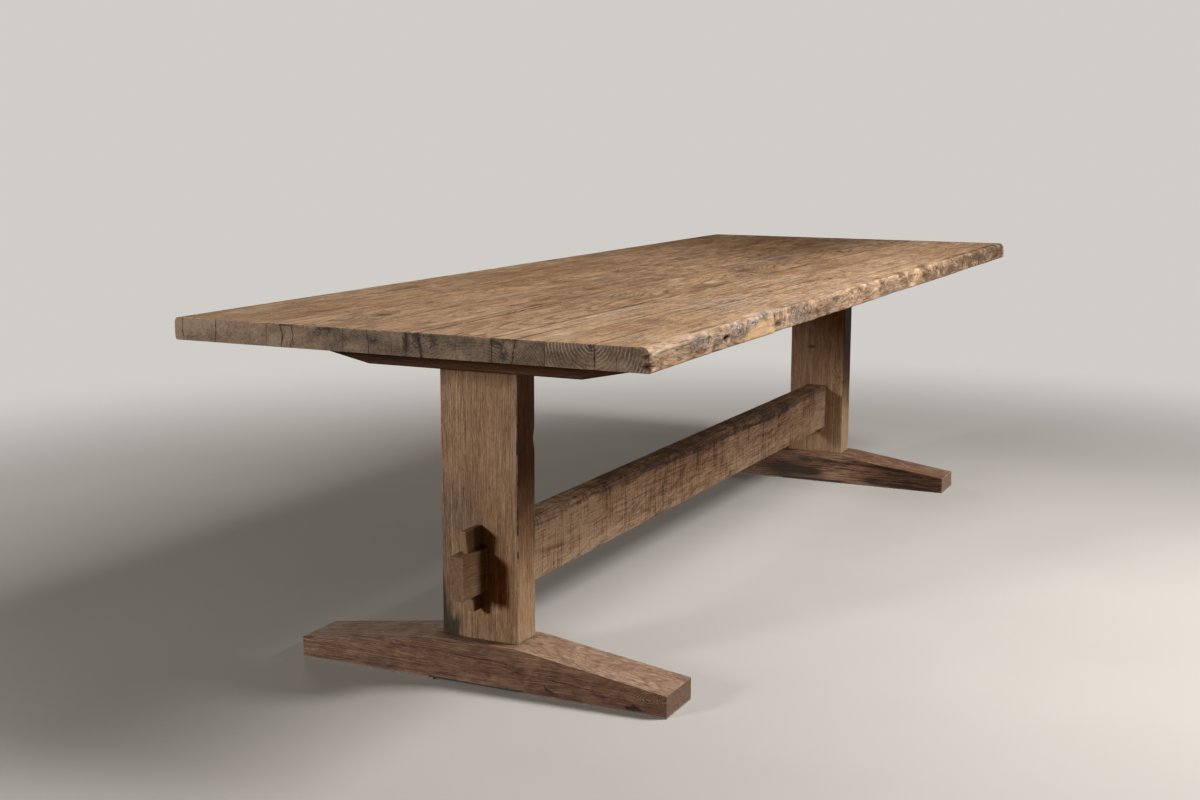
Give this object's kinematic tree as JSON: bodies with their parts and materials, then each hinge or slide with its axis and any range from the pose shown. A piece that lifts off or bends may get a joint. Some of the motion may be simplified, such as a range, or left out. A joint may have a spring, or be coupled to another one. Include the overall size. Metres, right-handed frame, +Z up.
{
  "type": "trestle dining table",
  "caption": "Long oak dining table: a thick edge-jointed plank top on two trestles, tied by a stretcher whose through tenons are locked with tapered wedges.",
  "frame": {"origin": "on the floor under the middle of the table top (bottom centre of the bounding box)", "axes": "+X along the table from the left trestle to the right, +Y from the waney front edge to the straight back edge, +Z up"},
  "size_m": [2.88, 1.0299, 0.77],
  "materials": {
    "top_oak": "worn, hand-planed, dry oiled",
    "frame_oak": "aged, matt",
    "foot_oak": "aged, matt, darker",
    "wedge_oak": "matt, worn edges",
    "tongue_wood": "planed, glued in",
    "felt": "pressed felt",
    "zinc_steel": "zinc plated"
  },
  "bodies": {
    "table": {"bearer_left": "foot_oak", "bearer_right": "foot_oak", "board_tongue_1": "tongue_wood", "board_tongue_2": "tongue_wood", "board_tongue_3": "tongue_wood", "board_tongue_4": "tongue_wood", "board_tongue_5": "tongue_wood", "coach_screws_left": "zinc_steel", "coach_screws_right": "zinc_steel", "felt_left_back": "felt", "felt_left_front": "felt", "felt_right_back": "felt", "felt_right_front": "felt", "foot_left": "foot_oak", "foot_right": "foot_oak", "leg_left": "frame_oak", "leg_right": "frame_oak", "stretcher": "frame_oak", "top_board_back": "top_oak", "top_board_fifth": "top_oak", "top_board_fourth": "top_oak", "top_board_front": "top_oak", "top_board_second": "top_oak", "top_board_third": "top_oak", "washers_left": "zinc_steel", "washers_right": "zinc_steel"},
    "wedge_left": {"wedge_left": "wedge_oak"},
    "wedge_right": {"wedge_right": "wedge_oak"}
  },
  "joints": [
    {"name": "left_wedge_lift", "type": "slide", "parent": "table", "child": "wedge_left", "axis": [0, 0, 1], "range_m": [0, 0.128]},
    {"name": "right_wedge_lift", "type": "slide", "parent": "table", "child": "wedge_right", "axis": [0, 0, 1], "range_m": [0, 0.128]}
  ]
}
